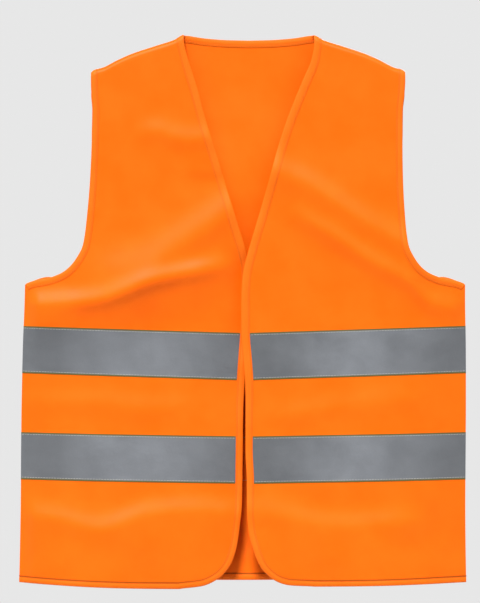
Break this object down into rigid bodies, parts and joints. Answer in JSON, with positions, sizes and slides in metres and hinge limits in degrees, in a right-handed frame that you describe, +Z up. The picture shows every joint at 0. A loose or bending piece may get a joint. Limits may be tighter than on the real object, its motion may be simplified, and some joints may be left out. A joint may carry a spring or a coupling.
{
  "type": "high visibility vest",
  "caption": "Sleeveless V-necked orange safety vest, open down the front, with bound edges and bands of grey reflective tape round the body.",
  "frame": {"origin": "middle of the neck opening, level with the neck points, in the plane of the side seams, where a hanger or shoulders hold the vest up", "axes": "+X towards the wearer's left, +Y towards the wearer's back, +Z up"},
  "size_m": [0.4737, 0.045, 0.5866],
  "materials": {
    "orange_knit": "matt fluorescent knit",
    "orange_binding": "matt folded binding tape",
    "grey_tape": "satin retroreflective tape on fabric",
    "closure_orange": "matt touch fastener",
    "label_white": "matt woven label"
  },
  "bodies": {
    "garment": {"back_panel": "orange_knit", "right_front_side": "orange_knit", "left_front_side": "orange_knit", "neck_binding": "orange_binding", "back_hem_binding": "orange_binding", "right_front_hem_binding": "orange_binding", "left_front_hem_binding": "orange_binding", "right_armhole_binding": "orange_binding", "left_armhole_binding": "orange_binding", "right_side_seam": "orange_knit", "left_side_seam": "orange_knit", "right_shoulder_seam": "orange_knit", "left_shoulder_seam": "orange_knit", "back_upper_tape": "grey_tape", "back_lower_tape": "grey_tape", "right_upper_tape_side": "grey_tape", "right_lower_tape_side": "grey_tape", "left_upper_tape_side": "grey_tape", "left_lower_tape_side": "grey_tape", "care_label": "label_white"},
    "right_flap": {"right_front_flap": "orange_knit", "right_front_edge_binding": "orange_binding", "right_upper_tape_flap": "grey_tape", "right_lower_tape_flap": "grey_tape", "loop_patch": "closure_orange"},
    "left_flap": {"left_front_flap": "orange_knit", "left_front_edge_binding": "orange_binding", "left_upper_tape_flap": "grey_tape", "left_lower_tape_flap": "grey_tape", "hook_patch": "closure_orange"}
  },
  "joints": [
    {"name": "right_front_fold", "type": "hinge", "parent": "garment", "child": "right_flap", "pos_m": [-0.05509, -0.00931, -0.032], "axis": [-0.1715, -0.0222, -0.9849], "range_deg": [0, 150]},
    {"name": "left_front_fold", "type": "hinge", "parent": "garment", "child": "left_flap", "pos_m": [0.06973, -0.00938, -0.032], "axis": [-0.1457, 0.0222, 0.9891], "range_deg": [0, 150]}
  ]
}
